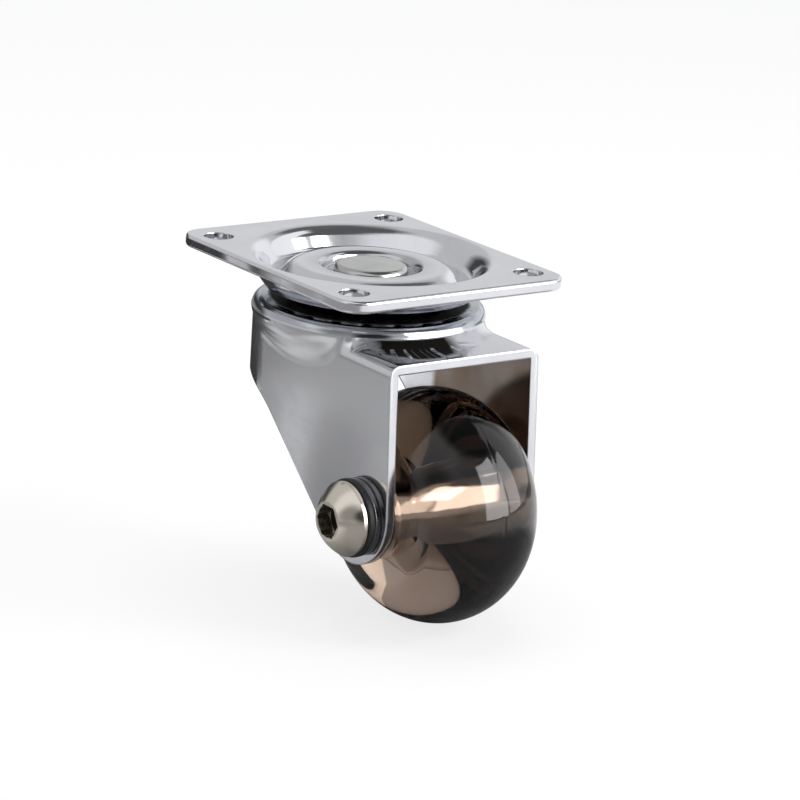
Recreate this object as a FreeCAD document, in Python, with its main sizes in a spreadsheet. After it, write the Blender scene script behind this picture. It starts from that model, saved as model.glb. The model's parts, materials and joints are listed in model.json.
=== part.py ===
import FreeCAD, Part
import math
import os
import Sketcher

# Swivel caster with a smoked barrel wheel, in millimetres.
# The origin is where the swivel axis meets the top of the mounting plate.
# +Z points up, +X points from the swivel axis towards the axle, and the axle lies along Y.

DRIVING_SIZES = {
    # Mounting plate
    "plate_length": 66.0,
    "plate_width": 56.4,
    "plate_sheet": 2.6,
    "plate_corner": 5.5,
    "plate_edge": 0.7,
    "bolt_space_long": 50.8,
    "bolt_space_wide": 44.6,
    "bolt_hole": 6.4,
    # Dish pressed into the plate
    "dish_radius": 25.0,
    "dish_depth": 4.7,
    "dish_bed": 1.0,
    "dish_slope": 3.3,
    "crown_depth": 2.1,
    "recess_radius": 10.6,
    "recess_depth": 4.2,
    "dish_lip_round": 4.2,
    "dish_bend_round": 1.9,
    "crown_round": 5.0,
    "recess_round": 1.6,
    "dish_under_round": 0.9,
    # Swivel bearing
    "upper_pitch": 15.0,
    "upper_ball": 5.9,
    "lower_pitch": 10.2,
    "lower_ball": 4.7,
    "ball_play": 0.15,
    "kingpin_spigot": 9.0,
    "kingpin_shank": 12.4,
    "kingpin_head": 16.0,
    "kingpin_head_rise": 2.1,
    "kingpin_head_round": 1.3,
    "kingpin_foot": 15.6,
    "kingpin_foot_rise": 2.4,
    "lower_race_sheet": 1.8,
    # Fork
    "fork_sheet": 2.0,
    "fork_width": 38.0,
    "fork_bend": 2.6,
    "fork_rear": 26.2,
    "fork_rear_corner": 15.0,
    "head_top": 9.7,
    "head_radius": 24.4,
    "head_flare": 0.6,
    "head_wall": 2.1,
    "head_round": 2.0,
    "head_hole": 14.8,
    "shoulder_bend": 4.5,
    "shoulder_lean": 52.0,
    "shoulder_foot": 18.0,
    "shoulder_blend": 6.0,
    "roof_top": 13.6,
    "roof_front": 35.0,
    "leg_front": 37.0,
    "leg_end": 12.3,
    "leg_end_up": 1.5,
    "leg_rake": 41.3,
    "leg_sweep": 33.0,
    "leg_sweep_start": 7.3,
    "axle_hole": 8.2,
    # Axle and wheel
    "axle_x": 27.2,
    "axle_drop": 47.7,
    "bolt_shank": 6.0,
    "bolt_length": 30.0,
    "bolt_head": 15.8,
    "bolt_head_rise": 5.0,
    "bolt_crown": 8.4,
    "bolt_dome": 13.0,
    "socket_flats": 6.6,
    "socket_depth": 3.2,
    "washer_outer": 16.3,
    "washer_thick": 1.45,
    "barrel_outer": 8.0,
    "barrel_head": 14.0,
    "barrel_head_rise": 2.0,
    "barrel_short": 0.5,
    "barrel_socket": 5.0,
    "tube_outer": 10.2,
    "sleeve_outer": 12.0,
    "running_play": 0.05,
    "thrust_outer": 17.0,
    "thrust_thick": 1.5,
    "side_play": 0.25,
    "wheel_radius": 25.0,
    "tread_crown": 17.0,
    "tread_turn": 54.0,
    "side_bend": 5.6,
    "hub_outer": 18.0,
    "tiny_round": 0.35,
}

UPPER_BALLS = 15
LOWER_BALLS = 13

SHEET_NAME = "Sizes"
BEYOND = 90.0


class Size:
    """A length as both a number and the spreadsheet formula that gives it."""

    def __init__(self, value, formula):
        self.value = value
        self.formula = formula

    def join(self, other, sign, value):
        return Size(value, f"({self.formula} {sign} {other.formula})")

    def __add__(self, other):
        other = as_size(other)
        return self.join(other, "+", self.value + other.value)

    def __sub__(self, other):
        other = as_size(other)
        return self.join(other, "-", self.value - other.value)

    def __mul__(self, factor):
        factor = as_size(factor)
        return self.join(factor, "*", self.value * factor.value)

    def __truediv__(self, divisor):
        divisor = as_size(divisor)
        return self.join(divisor, "/", self.value / divisor.value)

    def __neg__(self):
        return Size(-self.value, f"(0 - {self.formula})")


def as_size(length):
    """A plain number is a size whose formula is that number."""
    if isinstance(length, Size):
        return length
    return Size(float(length), repr(float(length)))


def root(square):
    """Square root of a size."""
    return Size(math.sqrt(square.value), f"sqrt({square.formula})")


def sine(degrees):
    return Size(math.sin(math.radians(degrees.value)), f"sin({degrees.formula} * 1 deg)")


def cosine(degrees):
    return Size(math.cos(math.radians(degrees.value)), f"cos({degrees.formula} * 1 deg)")


class Sizes:
    """The driving sizes by name, each bound to its cell."""


def make_sheet(document):
    """Put every driving size in a spreadsheet cell that carries its name."""
    sheet = document.addObject("Spreadsheet::Sheet", SHEET_NAME)
    sizes = Sizes()
    for row, (name, value) in enumerate(DRIVING_SIZES.items(), start=1):
        sheet.set(f"A{row}", name)
        sheet.set(f"B{row}", str(value))
        sheet.setAlias(f"B{row}", name)
        setattr(sizes, name, Size(value, f"{SHEET_NAME}.{name}"))
    document.recompute()
    return sizes


# Sketching helpers


def new_body(name):
    return doc.addObject("PartDesign::Body", name)


def origin_feature(body, role):
    return next(feature for feature in body.Origin.OriginFeatures if feature.Role == role)


def new_sketch(body, name, plane, lift=0.0):
    """Sketch on one of the body's own planes, raised along the plane's normal."""
    sketch = body.newObject("Sketcher::SketchObject", name)
    sketch.AttachmentSupport = [(origin_feature(body, plane), "")]
    sketch.MapMode = "FlatFace"
    sketch.setExpression("AttachmentOffset.Base.z", as_size(lift).formula)
    return sketch


def arc_between(start, end, radius):
    """Minor arc between two points. A positive radius turns left, a negative one turns right."""
    chord = end - start
    half = chord.Length / 2
    reach = math.sqrt(max(radius * radius - half * half, 0.0))
    left = FreeCAD.Vector(-chord.y, chord.x, 0).normalize()
    centre = (start + end) * 0.5 + left * (math.copysign(reach, radius))
    circle = Part.Circle(centre, FreeCAD.Vector(0, 0, 1), abs(radius))
    first, last = (start, end) if radius > 0 else (end, start)
    return Part.ArcOfCircle(circle, circle.parameter(first), circle.parameter(last))


def outline(sketch, *stations):
    """Closed outline through the stations, each (x, y) or (x, y, radius of the arc that leads on)."""
    corners = [(as_size(station[0]), as_size(station[1])) for station in stations]
    radii = [as_size(station[2]) if len(station) > 2 else None for station in stations]
    spots = [FreeCAD.Vector(across.value, up.value, 0) for across, up in corners]
    first = sketch.GeometryCount
    heads = []
    tails = []
    for index, radius in enumerate(radii):
        here = spots[index]
        there = spots[(index + 1) % len(spots)]
        if radius is None:
            sketch.addGeometry(Part.LineSegment(here, there), False)
        else:
            sketch.addGeometry(arc_between(here, there, radius.value), False)
        turned = radius is not None and radius.value < 0
        heads.append((first + index, 2 if turned else 1))
        tails.append((first + index, 1 if turned else 2))
    constraints = []
    formulas = []
    for index, (across, up) in enumerate(corners):
        constraints.append(Sketcher.Constraint("Coincident", *tails[index - 1], *heads[index]))
        for kind, length in (("DistanceX", across), ("DistanceY", up)):
            formulas.append((len(constraints), length.formula))
            constraints.append(Sketcher.Constraint(kind, -1, 1, *heads[index], length.value))
        if radii[index] is not None:
            size = radii[index] if radii[index].value > 0 else -radii[index]
            formulas.append((len(constraints), size.formula))
            constraints.append(Sketcher.Constraint("Radius", first + index, size.value))
    bind(sketch, constraints, formulas)


def ring(sketch, diameter, across=0.0, up=0.0):
    """Circle of a given diameter round a point."""
    across, up = as_size(across), as_size(up)
    radius = as_size(diameter) / 2
    centre = FreeCAD.Vector(across.value, up.value, 0)
    index = sketch.addGeometry(Part.Circle(centre, FreeCAD.Vector(0, 0, 1), radius.value), False)
    constraints = [
        Sketcher.Constraint("DistanceX", -1, 1, index, 3, across.value),
        Sketcher.Constraint("DistanceY", -1, 1, index, 3, up.value),
        Sketcher.Constraint("Radius", index, radius.value),
    ]
    bind(sketch, constraints, enumerate((across.formula, up.formula, radius.formula)))


def hexagon(sketch, flats):
    """Hexagon of a given width across flats round the sketch's origin."""
    corner = flats / math.sqrt(3)
    half = flats / 2
    outline(
        sketch,
        (corner, 0),
        (corner / 2, half),
        (-corner / 2, half),
        (-corner, 0),
        (-corner / 2, -half),
        (corner / 2, -half),
    )


def bind(sketch, constraints, formulas):
    """Add the constraints and tie each dimension to its formula."""
    offset = sketch.ConstraintCount
    sketch.addConstraint(constraints)
    for index, formula in formulas:
        sketch.setExpression(f"Constraints[{offset + index}]", formula)


# Feature helpers


def feature(body, kind, name, sketch):
    made = body.newObject(f"PartDesign::{kind}", name)
    made.Profile = sketch
    sketch.Visibility = False
    return made


def pad(body, name, sketch, length, reverse=False):
    made = feature(body, "Pad", name, sketch)
    made.setExpression("Length", as_size(length).formula)
    made.Reversed = reverse
    return made


def cut_through(body, name, sketch):
    """Cut the sketch right through the body, both ways from its plane."""
    before = solid_volume(body)
    made = feature(body, "Pocket", name, sketch)
    made.Type = "ThroughAll"
    made.SideType = "Symmetric"
    expect_less(body, before, name)
    return made


def turn(body, name, sketch, axis="V_Axis"):
    made = feature(body, "Revolution", name, sketch)
    made.ReferenceAxis = (sketch, [axis])
    made.Angle = 360
    return made


def turn_away(body, name, sketch, axis="V_Axis"):
    """Cut away a turned shape."""
    before = solid_volume(body)
    made = feature(body, "Groove", name, sketch)
    made.ReferenceAxis = (sketch, [axis])
    made.Angle = 360
    expect_less(body, before, name)
    return made


def solid_volume(body):
    doc.recompute()
    return body.Shape.Volume


def expect_less(body, before, name):
    """A cut that points away from the solid takes nothing off, so its volume is compared."""
    after = solid_volume(body)
    if not after < before - 1e-3:
        raise RuntimeError(f"{name} cut nothing: {before:.2f} -> {after:.2f}")


def round_edges(body, name, radius, wanted):
    """Fillet the body's edges that the test picks out."""
    doc.recompute()
    base = body.Tip
    names = [f"Edge{n}" for n, edge in enumerate(base.Shape.Edges, start=1) if wanted(edge)]
    if not names:
        raise RuntimeError(f"{name} found no edge")
    made = body.newObject("PartDesign::Fillet", name)
    made.Base = (base, names)
    made.setExpression("Radius", as_size(radius).formula)
    doc.recompute()
    return made


NEAR = 0.02


def is_circle(edge):
    return isinstance(edge.Curve, Part.Circle)


def circle_at(radius, height):
    """Test for level circular edges round Z of a given radius and height."""
    radius, height = as_size(radius).value, as_size(height).value

    def wanted(edge):
        if not is_circle(edge):
            return False
        centre = edge.Curve.Center
        level = abs(centre.z - height) < NEAR and math.hypot(centre.x, centre.y) < NEAR
        return level and abs(edge.Curve.Radius - radius) < NEAR

    return wanted


def circle_across(radius, place):
    """Test for circular edges round Y of a given radius and place along Y."""
    radius, place = as_size(radius).value, as_size(place).value

    def wanted(edge):
        if not is_circle(edge):
            return False
        return abs(edge.Curve.Center.y - place) < NEAR and abs(edge.Curve.Radius - radius) < NEAR

    return wanted


def is_upright(edge):
    return abs(edge.tangentAt(edge.FirstParameter).z) > 0.9


def any_of(*tests):
    return lambda edge: any(test(edge) for test in tests)


def to_axle(body, along=0.0):
    """Move a body that was drawn round its own Y axis to the axle."""
    body.setExpression("Placement.Base.x", size.axle_x.formula)
    body.setExpression("Placement.Base.y", as_size(along).formula)
    body.setExpression("Placement.Base.z", (-size.axle_drop).formula)


# Mounting plate and swivel bearing


def make_top_plate():
    """Flat plate with a dish pressed down into it; its crown is the upper race, seen from below."""
    body = new_body("top_plate")
    long, wide = size.plate_length / 2, size.plate_width / 2
    blank = new_sketch(body, "plate_outline", "XY_Plane")
    outline(blank, (-long, -wide), (long, -wide), (long, wide), (-long, wide))
    pad(body, "plate_blank", blank, size.plate_sheet, reverse=True)
    round_edges(body, "plate_corners", size.plate_corner, is_upright)

    bed_out = size.dish_radius - size.dish_slope
    bed_in = bed_out - size.dish_bed * 2
    crown_out = size.upper_pitch + 1.6
    spigot = size.kingpin_spigot / 2
    race = size.upper_ball / 2 + size.ball_play
    race_reach = race * math.sqrt(0.5)
    race_mouth = -(ball_drop() - race_reach)
    under_bed = -(size.dish_depth + size.plate_sheet)
    under_recess = -(size.recess_depth + size.plate_sheet)
    inside_plate = -size.plate_sheet / 2

    boss = new_sketch(body, "boss_section", "XZ_Plane")
    outline(
        boss,
        (spigot, inside_plate),
        (spigot, under_recess),
        (size.recess_radius + 0.9, under_recess),
        (size.upper_pitch - race_reach, race_mouth, -race),
        (size.upper_pitch + race_reach, race_mouth),
        (bed_in - 0.7, under_bed),
        (bed_out + 0.7, under_bed),
        (size.dish_radius + 0.9, -size.plate_sheet),
        (size.dish_radius + 0.9, inside_plate),
    )
    turn(body, "boss", boss)

    dish = new_sketch(body, "dish_section", "XZ_Plane")
    outline(
        dish,
        (0, 1),
        (0, -size.recess_depth),
        (size.recess_radius - 0.6, -size.recess_depth),
        (size.recess_radius, -size.crown_depth),
        (crown_out, -size.crown_depth),
        (bed_in, -size.dish_depth),
        (bed_out, -size.dish_depth),
        (size.dish_radius, 0),
        (size.dish_radius, 1),
    )
    turn_away(body, "dish", dish)

    holes = new_sketch(body, "bolt_holes", "XY_Plane")
    for side in (-1, 1):
        for end in (-1, 1):
            ring(holes, size.bolt_hole, size.bolt_space_long * (end / 2), size.bolt_space_wide * (side / 2))
    cut_through(body, "bolt_hole_cut", holes)

    round_edges(body, "dish_lip", size.dish_lip_round, circle_at(size.dish_radius, 0))
    bed_corners = any_of(circle_at(bed_in, -size.dish_depth), circle_at(bed_out, -size.dish_depth))
    round_edges(body, "dish_bends", size.dish_bend_round, bed_corners)
    round_edges(body, "crown_bend", size.crown_round, circle_at(crown_out, -size.crown_depth))
    round_edges(body, "recess_lip", size.recess_round, circle_at(size.recess_radius, -size.crown_depth))
    under_corners = any_of(circle_at(bed_in - 0.7, under_bed), circle_at(bed_out + 0.7, under_bed))
    round_edges(body, "dish_under_bends", size.dish_under_round, under_corners)

    def rim_edge(edge):
        box = edge.BoundBox
        level = box.ZLength < NEAR and (abs(box.ZMax) < NEAR or abs(box.ZMin + size.plate_sheet.value) < NEAR)
        past_long = max(abs(box.XMin), abs(box.XMax)) > long.value - NEAR
        past_wide = max(abs(box.YMin), abs(box.YMax)) > wide.value - NEAR
        return level and (past_long or past_wide)

    round_edges(body, "plate_rim", size.plate_edge, rim_edge)
    return body


def ball_drop():
    """Depth of the upper balls' centres: they touch the crown's underside, less the play."""
    return size.crown_depth + size.plate_sheet + size.upper_ball / 2 + size.ball_play


def lower_ball_drop():
    return size.head_top + size.fork_sheet + size.lower_ball / 2 + size.ball_play


def race_floor():
    """Depth of the flat where the lower race meets the kingpin."""
    return lower_ball_drop() + size.lower_ball / 2 - 0.5


def make_kingpin():
    """Shouldered pin: its spigot is peened over in the dish, and its foot carries the lower race."""
    body = new_body("kingpin")
    section = new_sketch(body, "pin_section", "XZ_Plane")
    head, spigot = size.kingpin_head / 2, size.kingpin_spigot / 2
    shank, foot = size.kingpin_shank / 2, size.kingpin_foot / 2
    head_top = size.kingpin_head_rise - size.recess_depth
    shoulder = -(size.recess_depth + size.plate_sheet)
    seat = -(race_floor() + size.lower_race_sheet)
    outline(
        section,
        (0, head_top),
        (head, head_top),
        (head, -size.recess_depth),
        (spigot, -size.recess_depth),
        (spigot, shoulder),
        (shank, shoulder),
        (shank, seat),
        (foot, seat),
        (foot, seat - size.kingpin_foot_rise),
        (0, seat - size.kingpin_foot_rise),
    )
    turn(body, "pin", section)
    round_edges(body, "pin_head_round", size.kingpin_head_round, circle_at(head, head_top))
    round_edges(body, "pin_foot_round", size.tiny_round * 2, circle_at(foot, seat - size.kingpin_foot_rise))
    return body


def make_lower_race():
    """Pressed cup with a groove for the lower balls, clamped on the kingpin's foot."""
    body = new_body("lower_race")
    section = new_sketch(body, "race_section", "XZ_Plane")
    race = size.lower_ball / 2 + size.ball_play
    back = race + size.lower_race_sheet
    floor = -race_floor()
    depth = race_floor() - lower_ball_drop()
    centre = -lower_ball_drop()
    bore = size.kingpin_shank / 2
    reach = root(race * race - depth * depth)
    back_reach = root(back * back - (depth + size.lower_race_sheet) * (depth + size.lower_race_sheet))
    outline(
        section,
        (bore, floor),
        (size.lower_pitch - reach, floor, race),
        (size.lower_pitch + race, centre),
        (size.lower_pitch + back, centre, -back),
        (size.lower_pitch - back_reach, floor - size.lower_race_sheet),
        (bore, floor - size.lower_race_sheet),
    )
    turn(body, "cup", section)
    return body


def make_balls(name, count, pitch, diameter, drop):
    """Ring of balls round the swivel axis, one sphere object for each."""
    balls = []
    for number in range(count):
        ball = doc.addObject("Part::Sphere", f"{name}_{number + 1}")
        degrees = number * 360.0 / count
        ball.setExpression("Radius", (diameter / 2).formula)
        ball.setExpression("Placement.Base.x", f"{pitch.formula} * cos({degrees} deg)")
        ball.setExpression("Placement.Base.y", f"{pitch.formula} * sin({degrees} deg)")
        ball.setExpression("Placement.Base.z", (-drop).formula)
        balls.append(ball)
    row = doc.addObject("Part::Compound", name)
    row.Links = balls
    return row


# Fork


def make_fork():
    """One pressed sheet: flat legs that wrap round the rear, and a round head drawn out of the roof."""
    body = new_body("fork")
    half, sheet = size.fork_width / 2, size.fork_sheet
    roof = -size.roof_top

    outside = new_sketch(body, "hood_outside", "XY_Plane", roof)
    hood_plan(outside, as_size(0))
    pad(body, "hood", outside, BEYOND, reverse=True)

    def roof_edge(edge):
        box = edge.BoundBox
        level = box.ZLength < NEAR and abs(box.ZMax - roof.value) < NEAR
        return level and box.XLength > 1 and min(abs(box.YMin), abs(box.YMax)) > half.value - NEAR

    round_edges(body, "roof_bend", size.fork_bend, roof_edge)

    drawn = new_sketch(body, "head_outside", "XZ_Plane")
    head_section(drawn, as_size(0))
    turn(body, "head", drawn)

    inside = new_sketch(body, "hood_inside", "XY_Plane", roof - sheet)
    hood_plan(inside, sheet)
    before = solid_volume(body)
    hollow = feature(body, "Pocket", "hood_hollow", inside)
    hollow.setExpression("Length", as_size(BEYOND * 2).formula)
    expect_less(body, before, "hood_hollow")

    cavity = new_sketch(body, "head_inside", "XZ_Plane")
    head_section(cavity, sheet)
    turn_away(body, "head_hollow", cavity)

    trim_legs(body, roof)

    eye = new_sketch(body, "head_eye", "XY_Plane")
    ring(eye, size.head_hole)
    cut_through(body, "head_eye_cut", eye)

    axle = new_sketch(body, "axle_holes", "XZ_Plane")
    ring(axle, size.axle_hole, size.axle_x, -size.axle_drop)
    cut_through(body, "axle_hole_cut", axle)

    round_edges(body, "head_rim", size.head_round, circle_at(size.head_radius, -size.head_top))

    def shoulder_edge(edge):
        if isinstance(edge.Curve, Part.Line):
            return False
        box = edge.BoundBox
        on_leg = min(abs(box.YMin), abs(box.YMax)) > half.value - NEAR and box.YLength < NEAR
        return on_leg and box.ZMin > roof.value - size.fork_width.value / 3

    round_edges(body, "shoulder_crease", size.shoulder_blend, shoulder_edge)
    return body


def hood_plan(sketch, inset):
    """Plan of roof and legs: straight sides and a rear with round corners, at the outer or the inner skin."""
    half = size.fork_width / 2 - inset
    rear = -(size.fork_rear - inset)
    corner = size.fork_rear_corner - inset
    front = inset + BEYOND / 2
    outline(
        sketch,
        (rear + corner, -half),
        (front, -half),
        (front, half),
        (rear + corner, half, corner),
        (rear, half - corner),
        (rear, corner - half, corner),
    )


def head_section(sketch, inset):
    """Half section of the drawn head, at the outer skin or a sheet's thickness inside it.

    The ball groove lies in its top. The wall bends over into a shoulder that leans in to the legs.
    """
    lean_sin, lean_cos = sine(size.shoulder_lean), cosine(size.shoulder_lean)
    top = -(size.head_top + inset)
    groove = size.upper_ball / 2 + size.ball_play + inset
    rise = ball_drop() + top
    reach = root(groove * groove - rise * rise)
    brim = size.head_radius + size.head_flare - inset
    brim_z = -(size.head_top + size.head_wall)
    bend = size.shoulder_bend - inset
    lean_r = brim - bend * (as_size(1) - lean_cos)
    lean_z = brim_z - bend * lean_sin
    foot = size.shoulder_foot - inset
    foot_z = lean_z - (lean_r - foot) * (lean_cos / lean_sin)
    outline(
        sketch,
        (0, top),
        (size.upper_pitch - reach, top, groove),
        (size.upper_pitch + reach, top),
        (size.head_radius - inset, top),
        (brim, brim_z, -bend),
        (lean_r, lean_z),
        (foot, foot_z),
        (0, foot_z),
    )


def trim_legs(body, roof):
    """Cut the hood to its side outline: slanted front edge, round leg end, raked edge and level rear."""
    side = new_sketch(body, "leg_outline", "XZ_Plane")
    end_x = size.leg_front - size.leg_end
    end_z = size.leg_end_up - size.axle_drop
    rake_sin, rake_cos = sine(size.leg_rake), cosine(size.leg_rake)
    heel_x = end_x - size.leg_end * rake_sin
    heel_z = end_z - size.leg_end * rake_cos
    sweep_x = -size.leg_sweep_start
    sweep_z = heel_z + (heel_x - sweep_x) * (rake_sin / rake_cos)
    rear_x = sweep_x - size.leg_sweep * rake_sin
    rear_z = sweep_z - size.leg_sweep * rake_cos + size.leg_sweep
    outline(
        side,
        (-BEYOND, rear_z),
        (rear_x, rear_z, -size.leg_sweep),
        (sweep_x, sweep_z),
        (heel_x, heel_z, size.leg_end),
        (size.leg_front, end_z),
        (size.roof_front, roof),
        (size.roof_front, BEYOND / 2),
        (BEYOND, BEYOND / 2),
        (BEYOND, -BEYOND * 2),
        (-BEYOND, -BEYOND * 2),
    )
    cut_through(body, "leg_trim", side)


# Axle and wheel


def turned_on_axle(name, *stations):
    """Piece turned round the axle. Stations are (radius, place along Y)."""
    body = new_body(name)
    section = new_sketch(body, f"{name}_section", "XY_Plane")
    outline(section, *stations)
    turn(body, f"{name}_turned", section)
    to_axle(body)
    return body


def make_washer(name, outer, bore, start, thick):
    """Flat washer with softened rims."""
    outer, bore = outer / 2, bore / 2
    body = turned_on_axle(name, (bore, start), (outer, start), (outer, start + thick), (bore, start + thick))
    rims = any_of(circle_across(outer, start), circle_across(outer, start + thick))
    round_edges(body, f"{name}_rims", size.tiny_round, rims)
    return body


def make_axle_bolt(head_seat):
    """Bolt with a wide domed head and a hexagon socket."""
    head, shank = size.bolt_head / 2, size.bolt_shank / 2
    crown = size.bolt_crown / 2
    top = head_seat - size.bolt_head_rise
    skirt = head_seat - size.bolt_head_rise * 0.22
    end = head_seat + size.bolt_length
    body = turned_on_axle(
        "axle_bolt",
        (0, top),
        (crown, top, size.bolt_dome),
        (head, skirt),
        (head, head_seat),
        (shank, head_seat),
        (shank, end),
        (0, end),
    )
    cut_socket(body, size.socket_flats, -top, size.socket_depth)
    rims = any_of(circle_across(head, head_seat), circle_across(shank, end))
    round_edges(body, "bolt_rounds", size.tiny_round, rims)
    return body


def make_axle_barrel(leg, bolt_end):
    """Sleeve nut: its barrel runs through both legs and takes the bolt, its flat head lies on the far leg."""
    head, barrel = size.barrel_head / 2, size.barrel_outer / 2
    bore = size.bolt_shank / 2
    near = size.barrel_short - leg
    blind = bolt_end + 1.0
    top = leg + size.barrel_head_rise
    body = turned_on_axle(
        "axle_barrel",
        (bore, near),
        (barrel, near),
        (barrel, leg),
        (head, leg),
        (head, top),
        (0, top),
        (0, blind),
        (bore, blind),
    )
    cut_socket(body, size.barrel_socket, -top, size.barrel_head_rise, far_side=True)
    round_edges(body, "barrel_rounds", size.tiny_round * 2, circle_across(head, top))
    return body


def cut_socket(body, flats, lift, depth, far_side=False):
    """Hexagon socket cut into a head that faces along -Y, or along +Y on the far side."""
    socket = new_sketch(body, "socket", "XZ_Plane", lift)
    hexagon(socket, flats)
    before = solid_volume(body)
    hollow = feature(body, "Pocket", "socket_cut", socket)
    hollow.setExpression("Length", depth.formula)
    hollow.Reversed = far_side
    expect_less(body, before, "socket_cut")


def make_wheel(hub_half):
    """Barrel wheel of one solid: the crowned tread rolls over into flat sides, with a low hub."""
    bore, hub = size.sleeve_outer / 2, size.hub_outer / 2
    turn_sin, turn_cos = sine(size.tread_turn), cosine(size.tread_turn)
    shoulder = size.wheel_radius - size.tread_crown * (as_size(1) - turn_cos)
    shoulder_out = size.tread_crown * turn_sin
    flat = shoulder - size.side_bend * turn_cos
    side = shoulder_out + size.side_bend * (as_size(1) - turn_sin)
    return turned_on_axle(
        "wheel",
        (bore, -hub_half),
        (hub, -hub_half),
        (hub + 0.3, -side),
        (flat, -side, size.side_bend),
        (shoulder, -shoulder_out, size.tread_crown),
        (shoulder, shoulder_out, size.side_bend),
        (flat, side),
        (hub + 0.3, side),
        (hub, hub_half),
        (bore, hub_half),
    )


def make_axle_set():
    """Everything on the axle, from the bolt head on the -Y leg to the sleeve nut on the +Y leg."""
    leg = size.fork_width / 2
    gap = leg - size.fork_sheet
    thrust = gap - size.thrust_thick
    hub_half = thrust - size.side_play
    washer = size.washer_thick
    head_seat = -(leg + washer * 2)
    tube, barrel = size.tube_outer / 2, size.barrel_outer / 2
    sleeve = size.sleeve_outer / 2
    sleeve_bore = tube + size.running_play
    return [
        make_wheel(hub_half),
        turned_on_axle(
            "hub_sleeve",
            (sleeve_bore, -hub_half),
            (sleeve, -hub_half),
            (sleeve, hub_half),
            (sleeve_bore, hub_half),
        ),
        turned_on_axle("axle_tube", (barrel, -gap), (tube, -gap), (tube, gap), (barrel, gap)),
        make_washer("thrust_washer_left", size.thrust_outer, size.tube_outer, -gap, size.thrust_thick),
        make_washer("thrust_washer_right", size.thrust_outer, size.tube_outer, thrust, size.thrust_thick),
        make_washer("bolt_washer", size.washer_outer, size.bolt_shank, -leg - washer, washer),
        make_washer("sealing_washer", size.washer_outer + 0.2, size.bolt_shank, head_seat, washer),
        make_axle_bolt(head_seat),
        make_axle_barrel(leg, head_seat + size.bolt_length),
    ]


# Build, check and write


def check(pieces):
    """Stop if an object failed, or a piece has no sound shape."""
    for item in doc.Objects:
        if "Invalid" in item.State or "Error" in item.State:
            raise RuntimeError(f"{item.Name} failed: {item.State}")
    for piece in pieces:
        if piece.Shape.isNull() or not piece.Shape.isValid():
            raise RuntimeError(f"{piece.Label} has no sound shape")
        box = piece.Shape.BoundBox
        print(
            f"{piece.Label:20s} solids {len(piece.Shape.Solids):2d}  volume {piece.Shape.Volume:9.1f}"
            f"  x {box.XMin:6.1f} {box.XMax:6.1f}  y {box.YMin:6.1f} {box.YMax:6.1f}"
            f"  z {box.ZMin:6.1f} {box.ZMax:6.1f}"
        )


doc = FreeCAD.newDocument("swivel_caster")
size = make_sheet(doc)
pieces = [
    make_top_plate(),
    make_kingpin(),
    make_lower_race(),
    make_balls("upper_balls", UPPER_BALLS, size.upper_pitch, size.upper_ball, ball_drop()),
    make_balls("lower_balls", LOWER_BALLS, size.lower_pitch, size.lower_ball, lower_ball_drop()),
    make_fork(),
] + make_axle_set()
doc.recompute()
check(pieces)
os.makedirs("parts", exist_ok=True)
for piece in pieces:
    piece.Shape.exportStep(f"parts/{piece.Label}.step")
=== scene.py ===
# %% [markdown]
# # A swivel caster with a smoked barrel wheel
# A caster like this goes under furniture. A bright pressed plate takes four screws, a pressed fork
# swivels under it on balls, and a solid barrel of smoked clear plastic turns on a through bolt. The
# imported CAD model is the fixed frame, with every part in its place, in metres. Its metal meshes are fine
# enough for a mirror finish, so the script keeps them and only adds their finishes. It turns the clear
# wheel again, because light bends in it and every facet would show. Then it sets up a small product
# studio round the caster.

# %% Load the frame
import json
import math

import bmesh
import bpy
from mathutils import Matrix, Vector


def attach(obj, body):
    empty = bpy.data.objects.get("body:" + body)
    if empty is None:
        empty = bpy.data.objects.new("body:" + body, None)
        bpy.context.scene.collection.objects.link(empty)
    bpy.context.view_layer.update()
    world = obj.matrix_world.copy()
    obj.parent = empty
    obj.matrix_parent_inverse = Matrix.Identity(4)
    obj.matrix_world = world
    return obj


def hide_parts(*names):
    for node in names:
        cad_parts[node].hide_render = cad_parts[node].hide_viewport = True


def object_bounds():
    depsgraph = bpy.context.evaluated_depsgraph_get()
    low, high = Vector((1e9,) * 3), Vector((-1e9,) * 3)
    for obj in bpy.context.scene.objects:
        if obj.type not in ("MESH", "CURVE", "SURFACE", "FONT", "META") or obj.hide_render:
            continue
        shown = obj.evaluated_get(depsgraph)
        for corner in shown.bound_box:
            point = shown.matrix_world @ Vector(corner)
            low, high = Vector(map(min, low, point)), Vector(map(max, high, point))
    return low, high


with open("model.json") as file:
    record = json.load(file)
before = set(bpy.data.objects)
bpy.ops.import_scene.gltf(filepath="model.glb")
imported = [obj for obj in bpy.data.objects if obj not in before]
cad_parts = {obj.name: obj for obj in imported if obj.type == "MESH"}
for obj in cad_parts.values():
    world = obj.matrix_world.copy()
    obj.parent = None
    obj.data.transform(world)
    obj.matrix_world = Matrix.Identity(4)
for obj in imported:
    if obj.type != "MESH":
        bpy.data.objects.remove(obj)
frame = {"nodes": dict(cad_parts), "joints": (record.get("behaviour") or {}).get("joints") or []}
cad_low, cad_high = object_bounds()
nodes = frame["nodes"]
scene = bpy.context.scene
MM = 0.001
print("nodes:", len(nodes), "box in mm:", [round(v / MM, 1) for v in cad_high - cad_low])

# %% [markdown]
# Every finish below is a small tree of shader nodes. Such trees can be drawn by hand in the editor, but a
# script is easier to read and to change when one helper makes a node, sets its options and fills or links
# its inputs. An effect that several finishes share is a node group with named inputs, placed in each with
# its own values.

# %% Nodes and node groups


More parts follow.
